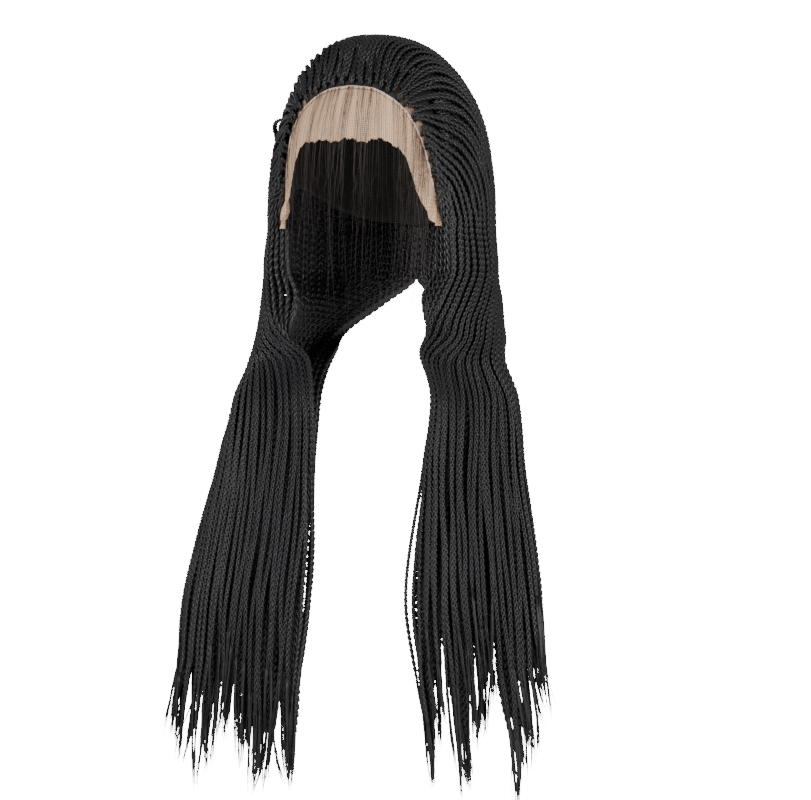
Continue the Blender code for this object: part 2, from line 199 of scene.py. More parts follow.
def lay_out(item, corner_places):
    """Gives a mesh its own UV map from a place in metres for each vertex."""
    layer = item.data.uv_layers.new(name="cloth") if not item.data.uv_layers else None
    layer = layer or item.data.uv_layers[0]
    corners = np.empty(len(item.data.loops), int)
    item.data.loops.foreach_get("vertex_index", corners)
    layer.data.foreach_set("uv", corner_places[corners].ravel())


def thicken(item, wall):
    """Gives a sheet its wall, added on the outside."""
    bpy.context.view_layer.objects.active = item
    solidify = item.modifiers.new("wall", "SOLIDIFY")
    solidify.thickness = wall
    solidify.offset = 1.0
    solidify.use_rim = True
    bpy.ops.object.modifier_apply(modifier="wall")
    item.data.shade_smooth()


bpy.ops.mesh.primitive_uv_sphere_add(segments=144, ring_count=56, radius=1.0)
net_cap = bpy.context.object
net_cap.name = "net_cap"
bpy.ops.object.mode_set(mode="EDIT")
bpy.ops.mesh.select_mode(type="VERT")
bpy.ops.mesh.select_all(action="DESELECT")
bpy.ops.object.mode_set(mode="OBJECT")
for vertex in net_cap.data.vertices:
    vertex.select = vertex.co.z < -0.001
bpy.ops.object.mode_set(mode="EDIT")
bpy.ops.mesh.delete(type="VERT")
bpy.ops.object.mode_set(mode="OBJECT")

sphere = read_points(net_cap)
cap_turns = np.degrees(np.arctan2(sphere[:, 0], -sphere[:, 1]))
cap_levels = np.degrees(np.arcsin(np.clip(sphere[:, 2], 0.0, 1.0))) / 90.0
cap_edges = cap_edge(cap_turns)
write_points(net_cap, cap_points(cap_turns, cap_edges + (90.0 - cap_edges) * cap_levels, 0.0))
behind_edge = np.radians((90.0 - cap_edges) * cap_levels) * CAP_HALF[1]
lay_out(net_cap, np.stack([np.radians(np.abs(cap_turns)) * CAP_HALF[1], behind_edge], axis=1))
thicken(net_cap, CAP_WALL)


def net_group():
    """Group of a knitted net: a mask that is 1 on its threads, from a UV map in metres."""
    group = bpy.data.node_groups.new("net_threads", "ShaderNodeTree")
    group.interface.new_socket("Place", in_out="INPUT", socket_type="NodeSocketVector")
    cells = group.interface.new_socket("Cells", in_out="INPUT", socket_type="NodeSocketFloat")
    cells.default_value = 900.0
    width = group.interface.new_socket("Thread", in_out="INPUT", socket_type="NodeSocketFloat")
    width.default_value = 0.2
    group.interface.new_socket("Mask", in_out="OUTPUT", socket_type="NodeSocketFloat")
    nodes = group.nodes
    start = nodes.new("NodeGroupInput")
    end = nodes.new("NodeGroupOutput")
    cell = nodes.new("ShaderNodeTexVoronoi")
    cell.feature = "DISTANCE_TO_EDGE"
    cell.inputs["Randomness"].default_value = 0.25
    ramp = nodes.new("ShaderNodeMapRange")
    ramp.interpolation_type = "SMOOTHSTEP"
    ramp.inputs["From Min"].default_value = 0.0
    ramp.inputs["To Min"].default_value = 1.0
    ramp.inputs["To Max"].default_value = 0.0
    group.links.new(start.outputs["Place"], cell.inputs["Vector"])
    group.links.new(start.outputs["Cells"], cell.inputs["Scale"])
    group.links.new(cell.outputs["Distance"], ramp.inputs["Value"])
    group.links.new(start.outputs["Thread"], ramp.inputs["From Max"])
    group.links.new(ramp.outputs["Result"], end.inputs["Mask"])
    return group


net_threads = net_group()

LACE_STRIP = (0.018, 0.026)
LACE_SIDES = (0.088, 0.096)
# Across the top of the hairline the front strip takes the dark net colour: painted shade in the
# gaps between the roots.
TOP_SHADE_SPAN = (0.046, 0.055)
cap_finish = bpy.data.materials.new("cap_net_finish")
cap_finish.use_nodes = True
nodes = cap_finish.node_tree.nodes
links = cap_finish.node_tree.links
shader = nodes["Principled BSDF"]
shader.inputs["Roughness"].default_value = 0.85
shader.inputs["Specular IOR Level"].default_value = 0.25
cloth = nodes.new("ShaderNodeUVMap")
cloth.uv_map = net_cap.data.uv_layers[0].name
threads = nodes.new("ShaderNodeGroup")
threads.node_tree = net_threads
threads.inputs["Cells"].default_value = 520.0
threads.inputs["Thread"].default_value = 0.28
split = nodes.new("ShaderNodeSeparateXYZ")
behind = nodes.new("ShaderNodeMapRange")
behind.inputs["From Min"].default_value = LACE_STRIP[0]
behind.inputs["From Max"].default_value = LACE_STRIP[1]
beside = nodes.new("ShaderNodeMapRange")
beside.inputs["From Min"].default_value = LACE_SIDES[0]
beside.inputs["From Max"].default_value = LACE_SIDES[1]
# Where the front strip meets the top of the hairline it is coloured dark: painted shade between
# the roots.
top_shade = nodes.new("ShaderNodeMapRange")
top_shade.inputs["From Min"].default_value = TOP_SHADE_SPAN[1]
top_shade.inputs["From Max"].default_value = TOP_SHADE_SPAN[0]
front = nodes.new("ShaderNodeMath")
front.operation = "MAXIMUM"
net_and_top_shade = nodes.new("ShaderNodeMath")
net_and_top_shade.operation = "MAXIMUM"
dark_net_and_shade = nodes.new("ShaderNodeMix")
dark_net_and_shade.data_type = "RGBA"
dark_net_and_shade.inputs["A"].default_value = (0.010, 0.009, 0.009, 1.0)
dark_net_and_shade.inputs["B"].default_value = (0.045, 0.040, 0.038, 1.0)
pale_net = nodes.new("ShaderNodeMix")
pale_net.data_type = "RGBA"
pale_net.inputs["A"].default_value = (0.20, 0.125, 0.085, 1.0)
pale_net.inputs["B"].default_value = (0.42, 0.29, 0.21, 1.0)
strip = nodes.new("ShaderNodeMix")
strip.data_type = "RGBA"
bump = nodes.new("ShaderNodeBump")
bump.inputs["Strength"].default_value = 0.5
bump.inputs["Distance"].default_value = 0.0003
links.new(cloth.outputs["UV"], threads.inputs["Place"])
links.new(cloth.outputs["UV"], split.inputs["Vector"])
links.new(split.outputs["Y"], behind.inputs["Value"])
links.new(split.outputs["X"], beside.inputs["Value"])
links.new(behind.outputs["Result"], front.inputs[0])
links.new(beside.outputs["Result"], front.inputs[1])
links.new(threads.outputs["Mask"], dark_net_and_shade.inputs["Factor"])
links.new(threads.outputs["Mask"], pale_net.inputs["Factor"])
links.new(split.outputs["X"], top_shade.inputs["Value"])
links.new(front.outputs["Value"], net_and_top_shade.inputs[0])
links.new(top_shade.outputs["Result"], net_and_top_shade.inputs[1])
links.new(net_and_top_shade.outputs["Value"], strip.inputs["Factor"])
links.new(pale_net.outputs["Result"], strip.inputs["A"])
links.new(dark_net_and_shade.outputs["Result"], strip.inputs["B"])
links.new(strip.outputs["Result"], shader.inputs["Base Color"])
links.new(threads.outputs["Mask"], bump.inputs["Height"])
links.new(bump.outputs["Normal"], shader.inputs["Normal"])
net_cap.data.materials.clear()
net_cap.data.materials.append(cap_finish)
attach(net_cap, "root")
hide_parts("cap")


# Lace front: sheer beige net, sewn to the cap along the hairline. It runs on below it and ends
# in a tab at each side. It is left untrimmed, so its free edge is ragged.

LACE_WALL = 0.0006
LACE_START = 0.0006
LACE_REACH = 60.0
TAB_LENGTH = 20.0
TAB_STAND = (0.0075, 0.0060)
LACE_EDGE_PLACES = (0, 12, 24, 32, 40, 44, 48, 52, 56, 60)
LACE_EDGE_TURNS = (0, 11, 21, 28, 34, 37, 41, 46, 52, 60)
LACE_EDGE_RISES = (17, 16, 16.5, 13, 5, -3, -14, -25, -30, -29)


def off_hairline(turn, degrees):
    """Turn and rise at a distance in degrees from the hairline, positive towards the lace."""
    size = np.abs(turn)
    step = 0.5
    slope = (cap_edge(size + step) - cap_edge(np.abs(size - step))) / (2 * step)
    slope = np.where(size > step, slope, 0.0)
    length = np.hypot(1.0, slope)
    return turn + np.sign(turn) * slope / length * degrees, cap_edge(turn) - degrees / length


bpy.ops.mesh.primitive_grid_add(x_subdivisions=260, y_subdivisions=20, size=2.0)
lace_net = bpy.context.object
lace_net.name = "lace_net"
grid = read_points(lace_net)
lace_places = grid[:, 0] * LACE_REACH
lace_down = (1.0 - grid[:, 1]) / 2
start_turns, start_rises = off_hairline(lace_places, math.degrees(LACE_START / CAP_HALF[1]))
free_turns = np.sign(lace_places) * smooth_curve(
    LACE_EDGE_PLACES, LACE_EDGE_TURNS, np.abs(lace_places)
)
free_rises = smooth_curve(LACE_EDGE_PLACES, LACE_EDGE_RISES, np.abs(lace_places))
ragged = (
    0.7 * np.sin(lace_places * 0.37 + 0.4)
    + 0.45 * np.sin(lace_places * 1.13 + 1.7)
    + 0.35 * np.sin(lace_places * 2.9) * np.sin(lace_places * 0.23 + 0.6)
    + 0.30 * np.sin(lace_places * 5.3 + 0.9) * np.sin(lace_places * 0.61)
)
free_rises = free_rises + ragged
lace_turns = start_turns + (free_turns - start_turns) * lace_down
lace_rises = start_rises + (free_rises - start_rises) * lace_down
lace_points = cap_points(lace_turns, lace_rises, 0.0005)
tab = np.clip(-lace_rises / TAB_LENGTH, 0.0, 1.0) * np.clip((np.abs(lace_turns) - 38) / 10, 0, 1)
tab = tab * lace_down * (1.0 + 0.25 * np.sin(lace_places * 1.9))
lace_points[:, 0] += np.sign(lace_turns) * TAB_STAND[0] * tab
lace_points[:, 1] -= TAB_STAND[1] * tab
write_points(lace_net, lace_points)
lace_long = np.radians(start_rises - lace_rises) * CAP_HALF[1]
lay_out(lace_net, np.stack([np.radians(lace_turns) * CAP_HALF[1], lace_long], axis=1))
thicken(lace_net, LACE_WALL)

lace_finish = bpy.data.materials.new("sheer_lace_finish")
lace_finish.use_nodes = True
nodes = lace_finish.node_tree.nodes
links = lace_finish.node_tree.links
shader = nodes["Principled BSDF"]
shader.inputs["Roughness"].default_value = 0.8
shader.inputs["Specular IOR Level"].default_value = 0.2
cloth = nodes.new("ShaderNodeUVMap")
cloth.uv_map = lace_net.data.uv_layers[0].name
threads = nodes.new("ShaderNodeGroup")
threads.node_tree = net_threads
threads.inputs["Cells"].default_value = 620.0
threads.inputs["Thread"].default_value = 0.30
colour = nodes.new("ShaderNodeMix")
colour.data_type = "RGBA"
colour.inputs["A"].default_value = (0.66, 0.42, 0.26, 1.0)
colour.inputs["B"].default_value = (0.84, 0.57, 0.38, 1.0)
cover = nodes.new("ShaderNodeMapRange")
cover.inputs["To Min"].default_value = 0.42
cover.inputs["To Max"].default_value = 0.85
links.new(cloth.outputs["UV"], threads.inputs["Place"])
links.new(threads.outputs["Mask"], colour.inputs["Factor"])
links.new(colour.outputs["Result"], shader.inputs["Base Color"])
links.new(threads.outputs["Mask"], cover.inputs["Value"])
links.new(cover.outputs["Result"], shader.inputs["Alpha"])
lace_net.data.materials.clear()
lace_net.data.materials.append(lace_finish)
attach(lace_net, "root")
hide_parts("lace_front")


# Hairline seam: a narrow pale tape sewn along the hairline, where the lace joins the cap.

SEAM_WIDTH = 0.0021
SEAM_WALL = 0.0006
SEAM_RISE = 0.0014
SEAM_END = 52.0

bpy.ops.mesh.primitive_grid_add(x_subdivisions=260, y_subdivisions=4, size=2.0)
seam_tape = bpy.context.object
seam_tape.name = "seam_tape_band"
grid = read_points(seam_tape)
seam_half = math.degrees(SEAM_WIDTH / 2 / CAP_HALF[1])
seam_turns, seam_rises = off_hairline(grid[:, 0] * SEAM_END, -grid[:, 1] * seam_half)
write_points(seam_tape, cap_points(seam_turns, seam_rises, SEAM_RISE))
lay_out(seam_tape, np.stack([
    np.radians(grid[:, 0] * SEAM_END) * CAP_HALF[1], grid[:, 1] * SEAM_WIDTH / 2
], axis=1))
thicken(seam_tape, SEAM_WALL)

seam_finish = bpy.data.materials.new("seam_tape_finish")
seam_finish.use_nodes = True
nodes = seam_finish.node_tree.nodes
links = seam_finish.node_tree.links
shader = nodes["Principled BSDF"]
shader.inputs["Roughness"].default_value = 0.75
cloth = nodes.new("ShaderNodeUVMap")
cloth.uv_map = seam_tape.data.uv_layers[0].name
ridges = nodes.new("ShaderNodeTexWave")
ridges.bands_direction = "X"
ridges.inputs["Scale"].default_value = 420.0
colour = nodes.new("ShaderNodeMix")
colour.data_type = "RGBA"
colour.inputs["A"].default_value = (0.50, 0.34, 0.26, 1.0)
colour.inputs["B"].default_value = (0.70, 0.54, 0.45, 1.0)
bump = nodes.new("ShaderNodeBump")
bump.inputs["Strength"].default_value = 0.6
bump.inputs["Distance"].default_value = 0.0002
links.new(cloth.outputs["UV"], ridges.inputs["Vector"])
links.new(ridges.outputs["Fac"], colour.inputs["Factor"])
links.new(colour.outputs["Result"], shader.inputs["Base Color"])
links.new(ridges.outputs["Fac"], bump.inputs["Height"])
links.new(bump.outputs["Normal"], shader.inputs["Normal"])
seam_tape.data.materials.clear()
seam_tape.data.materials.append(seam_finish)
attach(seam_tape, "root")
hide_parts("hairline_seam")


# Form of the hair: every braid is knotted to the cap, lies back over the crown, hangs down, comes
# forward round its own side and ends in the fall at the front. share runs from the front edge
# of the hair (0) to the middle of the back (1); the right half mirrors the left.

HAIR_HALF_WIDTH = 0.0975
HAIR_HALF_DEPTH = 0.110
CROWN_RISE = 0.015
DOME_BASE = -0.150
DOME_POWER = 2.4
CROWN_LEAN = 0.0125
LEAN_DROP = 0.060
ROOT_SETBACK = 2.4
ROOT_LINE = 1.0
ROOT_THICKNESS = 0.005
RISE_SHARE = 0.29
ROOT_GATHER = 0.60
CROWN_SWEEP = (0.30, 0.78)
SWEEP_PULL = 1.1
CAP_TO_HAIR = 0.0039
BRAID_DEPTH = 0.0021
HAIRLINE_END = 52.0
FALL_TOP = -0.297
HAIR_END = -0.637
FALL_SPREAD = 0.108
FALL_AHEAD = 0.060
FALL_HALF_WIDTH = 0.059
FALL_HALF_THICKNESS = 0.023
TIP_FLARE = 0.026
FLARE_START = -0.520
# Rows of level, side, ahead, width, depth, start, end, core width and core depth
SIDE_SECTIONS = (
    (0.00, 0.00, 0.00, 1.00, 1.00, 59, 180, 0.78, 0.84),
    (0.24, 0.00, 0.02, 1.04, 0.96, 58, 179, 0.78, 0.76),
    (0.43, 0.38, 0.01, 0.69, 0.82, 38, 188, 0.29, 0.60),
    (0.61, 0.69, 0.02, 0.41, 0.65, -2, 197, 0.11, 0.43),
    (0.78, 0.81, 0.12, 0.35, 0.49, -58, 238, 0.14, 0.26),
)
FALL_SECTIONS = (
    (0.00, 0.835, 0.29, 0.66, 1.70, -75, 255, 0.40, 0.04),
    (0.17, 0.880, 0.55, 0.78, 1.25, -85, 267, 0.55, 0.03),
    (0.35, 0.945, 0.75, 0.90, 1.08, -90, 270, 0.68, 0.03),
    (0.53, 1.000, 0.92, 0.98, 1.00, -90, 270, 0.75, 0.03),
    (0.69, 1.030, 0.93, 1.00, 0.90, -90, 270, 0.78, 0.03),
    (0.82, 1.040, 0.90, 0.96, 0.80, -90, 270, 0.76, 0.03),
    (1.00, 1.050, 0.88, 0.90, 0.70, -90, 270, 0.72, 0.03),
)
SHARES = np.linspace(0.0, 1.0, 73)
TRAVELS = np.linspace(0.0, 1.0, 56)
HEIGHTS = np.linspace(DOME_BASE, HAIR_END, 112)[1:]
DOME_MIDDLE = np.array([0.0, 0.0, DOME_BASE])


def ease(u):
    u = np.clip(u, 0.0, 1.0)
    return u * u * (3.0 - 2.0 * u)


def unit(vectors):
    return vectors / np.linalg.norm(vectors, axis=-1, keepdims=True)


def path_run(points):
    """Length of a path up to each of its points."""
    return np.concatenate(([0.0], np.cumsum(np.linalg.norm(np.diff(points, axis=0), axis=1))))


section_rows = np.array([
    (
        DOME_BASE + (FALL_TOP - DOME_BASE) * row[0],
        row[1] * HAIR_HALF_WIDTH, -row[2] * HAIR_HALF_DEPTH,
        row[3] * HAIR_HALF_WIDTH, row[4] * HAIR_HALF_DEPTH, row[5], row[6],
        row[7] * HAIR_HALF_WIDTH, row[8] * HAIR_HALF_DEPTH,
    )
    for row in SIDE_SECTIONS
] + [
    (
        FALL_TOP + (HAIR_END - FALL_TOP) * row[0],
        row[1] * FALL_SPREAD, -row[2] * FALL_AHEAD,
        row[3] * FALL_HALF_WIDTH, row[4] * FALL_HALF_THICKNESS, row[5], row[6],
        row[7] * FALL_HALF_WIDTH, row[8] * FALL_HALF_THICKNESS,
    )
    for row in FALL_SECTIONS
])


def section_points(height):
    """Outer and inner points of the hair at a height below the crown, for all SHARES."""
    side, back, width, depth, start, end, core_width, core_depth = [
        float(smooth_curve(-section_rows[:, 0], section_rows[:, k], -height)) for k in range(1, 9)
    ]
    turns = np.radians(np.linspace(start, end, 96))
    steps = np.hypot(np.diff(width * np.sin(turns)), np.diff(depth * np.cos(turns)))
    lengths = np.concatenate(([0.0], np.cumsum(steps)))
    turn = np.interp(SHARES * lengths[-1], lengths, turns)
    level = np.full(len(turn), height)
    outer = np.stack([side + width * np.sin(turn), back - depth * np.cos(turn), level], axis=1)
    inner = np.stack(
        [side + core_width * np.sin(turn), back - core_depth * np.cos(turn), level], axis=1
    )
    return outer, inner


def dome_reach(direction):
    x, y, z = np.moveaxis(np.abs(direction), -1, 0)
    level = (x / HAIR_HALF_WIDTH) ** 2 + (y / HAIR_HALF_DEPTH) ** 2
    rise = (z / (CROWN_RISE - DOME_BASE)) ** DOME_POWER
    return (level ** (DOME_POWER / 2) + rise) ** (-1.0 / DOME_POWER)


def cap_reach(direction, offset):
    """Distance from the middle of the dome to the cap's inner surface grown by offset."""
    low = np.zeros(direction.shape[:-1])
    high = np.full(direction.shape[:-1], 0.5)
    for _ in range(30):
        middle = (low + high) / 2
        inside = cap_measure(DOME_MIDDLE + direction * middle[..., None], offset) < 1.0
        low = np.where(inside, middle, low)
        high = np.where(inside, high, middle)
    return low


def crown_form():
    """Outer and inner points over the crown, for all TRAVELS and SHARES."""
    line_turns = np.linspace(HAIRLINE_END, 0.0, 96)
    line = cap_points(line_turns, cap_edge(line_turns), 0.0)
    run = path_run(line)
    turns = np.interp(SHARES ** ROOT_GATHER, run / run[-1], line_turns)
    root_turns, root_rises = off_hairline(turns, -ROOT_SETBACK)
    root = unit(cap_points(np.maximum(root_turns, 0.0), root_rises, 0.0) - DOME_MIDDLE)
    end = unit(section_points(DOME_BASE)[0] - DOME_MIDDLE)
    sweep = CROWN_SWEEP[0] + (CROWN_SWEEP[1] - CROWN_SWEEP[0]) * ease(SHARES / 0.6)
    lift = sweep * np.arccos(np.clip((root * end).sum(axis=1), -1.0, 1.0))
    above = np.stack(
        [end[:, 0] * np.cos(lift), end[:, 1] * np.cos(lift), np.sin(lift)], axis=1
    )
    u = TRAVELS[:, None, None]
    pull = 2 * SWEEP_PULL * u * (1 - u)
    direction = unit(root * (1 - u) ** 2 + above * pull + end * u * u)
    low = cap_reach(direction, CAP_TO_HAIR)
    full = dome_reach(direction) - low
    root_share = np.minimum(ROOT_THICKNESS, full)
    thickness = root_share + (full - root_share) * ease(TRAVELS / RISE_SHARE)[:, None]
    inner = DOME_MIDDLE + direction * low[..., None]
    outer = inner + direction * thickness[..., None]
    lean = CROWN_LEAN * ease((outer[..., 2] + LEAN_DROP) / (LEAN_DROP + CROWN_RISE))
    outer[..., 1] -= lean * ease(TRAVELS / RISE_SHARE)[:, None]
    # The first row of points lies on the cap, close behind the seam
    line_turns, line_rises = off_hairline(turns, -ROOT_LINE)
    line_turns = np.maximum(line_turns, 0.0)
    first_inner = cap_points(line_turns, line_rises, CAP_WALL)
    first_outer = cap_points(line_turns, line_rises, CAP_WALL + BRAID_DEPTH)
    return (
        np.concatenate([first_outer[None], outer]), np.concatenate([first_inner[None], inner])
    )


crown_outer, crown_inner = crown_form()
lower = [section_points(height) for height in HEIGHTS]
OUTER = np.concatenate([crown_outer, np.array([pair[0] for pair in lower])])
INNER = np.concatenate([crown_inner, np.array([pair[1] for pair in lower])])
ROW_LENGTHS = np.linalg.norm(np.diff(OUTER, axis=1), axis=2).sum(axis=1)
run_steps = np.linalg.norm(np.diff(OUTER, axis=0), axis=2).mean(axis=1)
RUNS = np.concatenate(([0.0], np.cumsum(run_steps)))
STATIONS = np.arange(len(RUNS))


def at_share(grid, share):
    """Points of a grid at one share for each station."""
    place = np.clip(share, 0.0, 1.0) * (len(SHARES) - 1)
    k = np.minimum(place.astype(int), len(SHARES) - 2)
    u = (place - k)[:, None]
    return grid[STATIONS, k] * (1 - u) + grid[STATIONS, k + 1] * u


# Braids: fine three-strand plaits of crimped synthetic hair, about 5 mm wide, each knotted to
# the cap by its tapered root: a front row along the hairline, rows behind it and an inner
# layer. Each bundle of braids is one piece, with the loose ends below its plaits.

BRAIDS_PER_SIDE = 52
INNER_PER_SIDE = 44
INNER_START = 0.026
INNER_LIFT = 0.0030
BUNDLES_PER_SIDE = 8
PLAIT_PERIOD = 0.0160
INNER_PERIOD = 0.0200
RINGS_PER_PERIOD = 6
PLAIT_SWING = 0.00140
PLAIT_OVERLAP = 0.00105
STRAND_RADIUS = 0.00132
STRAND_SIDES = 3
ROOT_SIZE = 0.70
ROOT_TAPER = 0.006
END_SIZE = 0.55
END_TAPER = 0.022
FRONT_ROOTS_PER_SIDE = 15
ROW_SETBACKS = (0.010, 0.005, 0.016, 0.026)
WEDGE_SETBACK = 0.2
RECESS = 0.0032
SPACING_STEP = 0.02
PLAIT_WIDTH = 2 * (PLAIT_SWING + STRAND_RADIUS)
WIDEST_PLAIT = 1.40
INNER_THICKNESS = 1.50
# Braids that close the front and back edges of the hair: share, and place from inner to outer
EDGE_BRAIDS = (
    (0.003, 0.15), (0.003, 0.35), (0.003, 0.55), (0.003, 0.75),
    (0.997, 0.20), (0.997, 0.45), (0.997, 0.70),
)
EDGE_START = -0.105
WEDGES_PER_SIDE = 11
WEDGE_END = 0.62
WEDGE_LENGTH = 0.022
LOOSE_BRAIDS = {0: 0.009, 1: 0.005, 2: 0.002, 50: 0.003, 51: 0.006}
STRAY_BRAID = ("right", 17)
STRAY_LIFT = 0.008
STRAY_RUN = (0.030, 0.100)
LOOSE_LENGTH = (0.042, 0.088)
TIP_UNEVENNESS = {"left": 0.115, "right": 0.062}
# How far the 16 clump tips of a side end above the longest, from the inner edge round
TIP_RISES = (
    0.10, 0.55, 0.05, 0.40, 0.75, 0.00, 0.35, 0.75, 0.60, 0.78, 0.15, 0.70, 0.45, 0.05, 0.80,
    0.30,
)
LOCKS_PER_END = 3
WISPS_PER_END = 6
# Ranges of the draws for a loose end
END_PULL = (0.30, 0.95)
END_LENGTH = (0.86, 1.12)
LOCK_RADIUS = 0.00125
WISP_RADIUS = (0.00030, 0.00060)
LOCK_SPREAD = 0.0009
WISP_SPREAD = 0.0030
LOCK_SHARE = (0.75, 1.0)
WISP_SHARE = (0.5, 1.08)
END_OVERLAP = 0.009
# Wandering of a braid sideways and in depth: near its root, and further down
OUTER_SWAY = (0.0009, 0.0013)
INNER_SWAY = (0.0008, 0.0018)
UNEVEN_DEPTH = (0.0005, 0.0007)
SWAY_OFFSET = 0.0003
# Where the braids crowd, every other outer one and the inner ones in turn lie deeper
CROWDED_BY = 0.0014
MOST_CROWDED = 1.15
RECESS_RUN = 0.035
INNER_ROOM = 0.0052
INNER_CROWDED_BY = 0.0026
INNER_ROW_STEP = 0.0018
# How a braid rises from the cap at its root
ROOT_LEVEL = 0.0004
ROOT_RISE = (0.009, 0.35)
INNER_RISE = 0.010
# Heights between which the loose outer braids hang away from the rest
SLACK_STARTS = -0.33
SLACK_GROWS = 0.12
SLACK_ENDS = -0.47
SLACK_FADES = 0.09
BRAID_TONES = 40


class Bundle:
    """Points, faces and UV places of many tubes that become one mesh."""

    def __init__(self):
        self.points = []
        self.faces = []
        self.triangles = []
        self.places = []
        self.count = 0

    def add_tube(self, centres, sideways, upwards, radii, offset):
        """Closed tube of STRAND_SIDES sides round its centres."""
        rings = len(centres)
        around = np.arange(STRAND_SIDES)
        angles = math.pi / 2 + 2 * math.pi * around / STRAND_SIDES
        cos = np.cos(angles)[None, :, None]
        sin = np.sin(angles)[None, :, None]
        ring = sideways[:, None, :] * cos + upwards[:, None, :] * sin
        points = centres[:, None, :] + ring * radii[:, None, None]
        self.points.append(points.reshape(-1, 3))
        first = self.count + np.arange(rings - 1)[:, None] * STRAND_SIDES
        a = first + around[None, :]
        b = first + (around[None, :] + 1) % STRAND_SIDES
        self.faces.append(
            np.stack([a, b, b + STRAND_SIDES, a + STRAND_SIDES], axis=-1).reshape(-1, 4)
        )
        last = self.count + (rings - 1) * STRAND_SIDES
        self.triangles.append([[self.count + 2, self.count + 1, self.count]])
        self.triangles.append([[last, last + 1, last + 2]])
        along = path_run(centres)
        around_place = offset + np.abs(around / STRAND_SIDES - 0.5)
        place = np.stack(np.broadcast_arrays(around_place[None, :], along[:, None]), axis=-1)
        self.places.append(place.reshape(-1, 2))
        self.count += rings * STRAND_SIDES

    def finish(self, name, mirrored):
        points = np.concatenate(self.points)
        faces = np.concatenate(self.faces)
        triangles = np.concatenate(self.triangles)
        places = np.concatenate(self.places)
        if mirrored:
            points = points * np.array([-1.0, 1.0, 1.0])
            faces = faces[:, ::-1]
            triangles = triangles[:, ::-1]
        mesh = bpy.data.meshes.new(name)
        corners = np.concatenate([faces.ravel(), triangles.ravel()])
        starts = np.concatenate([
            np.arange(len(faces)) * 4, len(faces) * 4 + np.arange(len(triangles)) * 3
        ])
        mesh.vertices.add(len(points))
        mesh.vertices.foreach_set("co", points.ravel())
        mesh.loops.add(len(corners))
        mesh.loops.foreach_set("vertex_index", corners.astype(np.int32))
        mesh.polygons.add(len(starts))
        mesh.polygons.foreach_set("loop_start", starts.astype(np.int32))
        mesh.update(calc_edges=True)
        layer = mesh.uv_layers.new(name="strand")
        layer.data.foreach_set("uv", places[corners].ravel())
        mesh.shade_smooth()
        item = bpy.data.objects.new(name, mesh)
        bpy.context.collection.objects.link(item)
        return item


def path_frame(points, outward):
    """Sideways and outward unit vectors along a path."""
    tangent = unit(np.gradient(points, axis=0))
    outward = unit(outward - tangent * (outward * tangent).sum(axis=1, keepdims=True))
    return tangent, np.cross(outward, tangent), outward


def resample(points, outward, thickness, step):
    """Path at even steps of its own length."""
    run = path_run(points)
    places = np.arange(0.0, run[-1], step)
    path = np.stack([np.interp(places, run, points[:, k]) for k in range(3)], axis=1)
    turned = np.stack([np.interp(places, run, outward[:, k]) for k in range(3)], axis=1)
    return places, path, unit(turned), np.interp(places, run, thickness)


def add_plait(bundle, points, outward, period, phase, offset, thickness):
    """Three-strand plait along a path, thin at its root and drawn in at its end."""
    run, path, outward, thickness = resample(
        points, outward, thickness, period / RINGS_PER_PERIOD
    )
    sideways, upwards = path_frame(path, outward)[1:]
    size = thickness * (ROOT_SIZE + (1.0 - ROOT_SIZE) * ease(run / ROOT_TAPER))
    size = size * (END_SIZE + (1.0 - END_SIZE) * ease((run[-1] - run) / END_TAPER))
    for strand in range(3):
        turn = 2 * math.pi * (run / period + strand / 3) + math.pi / 6 + phase * math.pi / 3
        swing = PLAIT_SWING * np.sin(turn) * size
        lift = PLAIT_OVERLAP * np.sin(2 * turn) * size
        centres = path + sideways * swing[:, None] + upwards * lift[:, None]
        bundle.add_tube(
            centres, sideways, upwards, STRAND_RADIUS * size, offset + 0.13 * strand
        )


def add_loose_end(bundle, rng, start, tangent, sideways, upwards, target, offset):
    """Unplaited end of a braid: its three strands and fine wisps, drawn towards a clump's tip."""
    steps = np.linspace(0.0, 1.0, 9)[:, None]
    reach = np.linalg.norm(target - start)
    pull = rng.uniform(*END_PULL)
    length = rng.uniform(*END_LENGTH)
    end = start + (tangent * reach * (1.0 - pull) + (target - start) * pull) * length
    for number in range(LOCKS_PER_END + WISPS_PER_END):
        is_lock = number < LOCKS_PER_END
        thickness = LOCK_RADIUS if is_lock else rng.uniform(*WISP_RADIUS)
        spread = LOCK_SPREAD if is_lock else WISP_SPREAD
        own = rng.uniform(*(LOCK_SHARE if is_lock else WISP_SHARE))
        tip = end + rng.normal(0.0, spread, 3)
        first = start - tangent * END_OVERLAP
        first = first + sideways * rng.normal(0.0, 0.0007) + upwards * rng.normal(0.0, 0.0006)
        middle = start + tangent * reach * length * 0.5
        u = steps * own
        centres = first * (1 - u) ** 2 + middle * 2 * u * (1 - u) + tip * u * u
        centres = centres + sideways * np.sin(u * 7.0 + rng.uniform(0.0, 6.28)) * u * 0.0010
        radii = thickness * np.minimum(0.5 + 3.0 * steps[:, 0], 1.0)
        radii = radii * (1.0 - 0.94 * steps[:, 0] ** 2.0)
        side = np.repeat(sideways[None, :], len(steps), axis=0)
        up = np.repeat(upwards[None, :], len(steps), axis=0)
        bundle.add_tube(centres, side, up, radii, offset)


def wander(rng, runs, low, high):
    """Smooth sideways wandering along a braid, which grows from low to high metres."""
    total = np.zeros(len(runs))
    for waves, share in ((0.33, 1.0), (0.17, 0.6), (0.09, 0.3)):
        total += share * np.sin(2 * math.pi * (runs / (waves * rng.uniform(0.8, 1.25))
                                               + rng.uniform()))
    return total * (low + (high - low) * ease((runs - 0.18) / 0.35))


def flare(points):
    """The ends of the outer braids stand out sideways."""
    share = (FLARE_START - points[:, 2]) / (FLARE_START - HAIR_END)
    outwards = np.maximum(points[:, 0] - FALL_SPREAD, 0.0) / FALL_HALF_WIDTH
    points[:, 0] += TIP_FLARE * np.clip(share, 0.0, 1.0) * np.minimum(outwards, 1.0)
    return points


